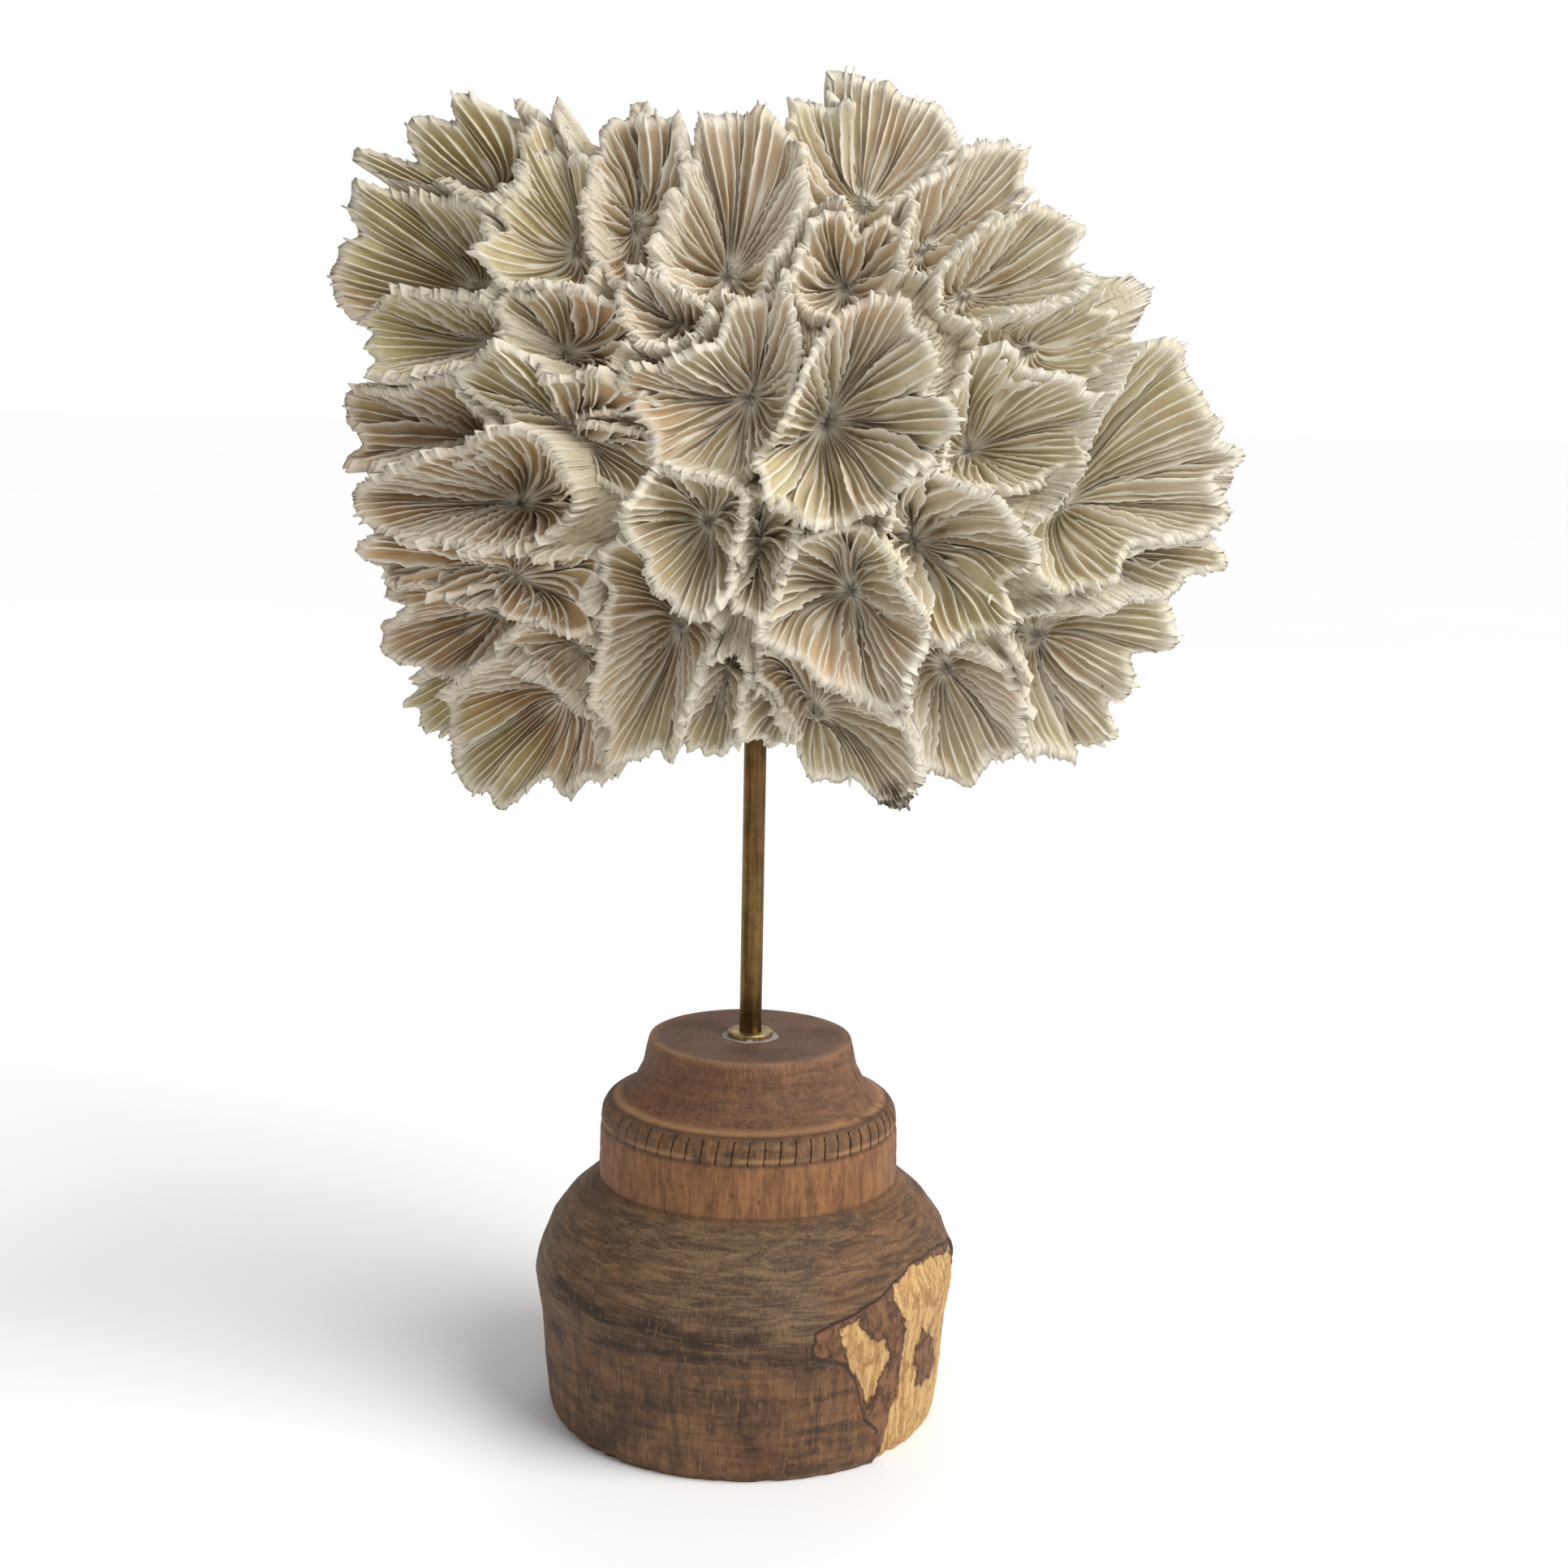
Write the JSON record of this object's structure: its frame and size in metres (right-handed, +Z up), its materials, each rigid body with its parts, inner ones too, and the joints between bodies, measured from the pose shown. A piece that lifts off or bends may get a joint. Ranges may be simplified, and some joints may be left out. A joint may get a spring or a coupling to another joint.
{
  "type": "stony coral specimen on a turned wooden stand",
  "caption": "Branching stony coral of fluted, ragged-edged cups, held up for display by a thin brass rod in a turned wooden base.",
  "frame": {"origin": "centre of the wooden base's flat underside, on the axis of the brass rod", "axes": "+Z up along the rod; the front of the coral faces -Y; +X is to the right when it is seen from the front"},
  "size_m": [0.2674, 0.1432, 0.414],
  "materials": {
    "coral": "dry, chalky bleached coral skeleton, ivory with tan and olive tints deep in the cups",
    "wood": "old turned hardwood, waxed mid brown with dark stains, a pale worm-eaten patch and an open crack",
    "brass": "aged satin brass"
  },
  "bodies": {
    "root": {"brass_rod": "brass", "brass_washer": "brass", "coral_back_cup_01": "coral", "coral_back_cup_02": "coral", "coral_back_cup_03": "coral", "coral_back_cup_04": "coral", "coral_back_cup_05": "coral", "coral_back_cup_06": "coral", "coral_back_cup_07": "coral", "coral_back_cup_08": "coral", "coral_back_cup_09": "coral", "coral_back_cup_10": "coral", "coral_back_cup_11": "coral", "coral_back_cup_12": "coral", "coral_back_cup_13": "coral", "coral_back_cup_14": "coral", "coral_back_cup_15": "coral", "coral_back_cup_16": "coral", "coral_back_cup_17": "coral", "coral_back_cup_18": "coral", "coral_back_cup_19": "coral", "coral_back_cup_20": "coral", "coral_bottom_cup": "coral", "coral_bottom_hook_cup": "coral", "coral_bottom_left_fan": "coral", "coral_bottom_left_flap": "coral", "coral_bottom_right_cup": "coral", "coral_bottom_small_cup": "coral", "coral_broken_cup": "coral", "coral_button_cup": "coral", "coral_crown_fan": "coral", "coral_crown_side_fan": "coral", "coral_left_fan": "coral", "coral_left_folded_lip": "coral", "coral_left_great_cup": "coral", "coral_left_inner_fan": "coral", "coral_left_long_valley": "coral", "coral_left_pit_cup": "coral", "coral_left_shield": "coral", "coral_lower_left_cup": "coral", "coral_lower_left_hollow": "coral", "coral_lower_left_valley": "coral", "coral_lower_right_fan": "coral", "coral_middle_round_cup": "coral", "coral_middle_wide_cup": "coral", "coral_raised_cup_left": "coral", "coral_raised_cup_right": "coral", "coral_right_great_fan": "coral", "coral_right_inner_cup": "coral", "coral_right_lower_shield": "coral", "coral_right_shoulder_fan": "coral", "coral_right_upper_cup": "coral", "coral_star_cup": "coral", "coral_tall_fan": "coral", "coral_tall_fan_lobe": "coral", "coral_trunk": "coral", "coral_twin_blades": "coral", "coral_under_crown_cup": "coral", "coral_upper_left_fan": "coral", "wooden_base": "wood"}
  },
  "joints": []
}
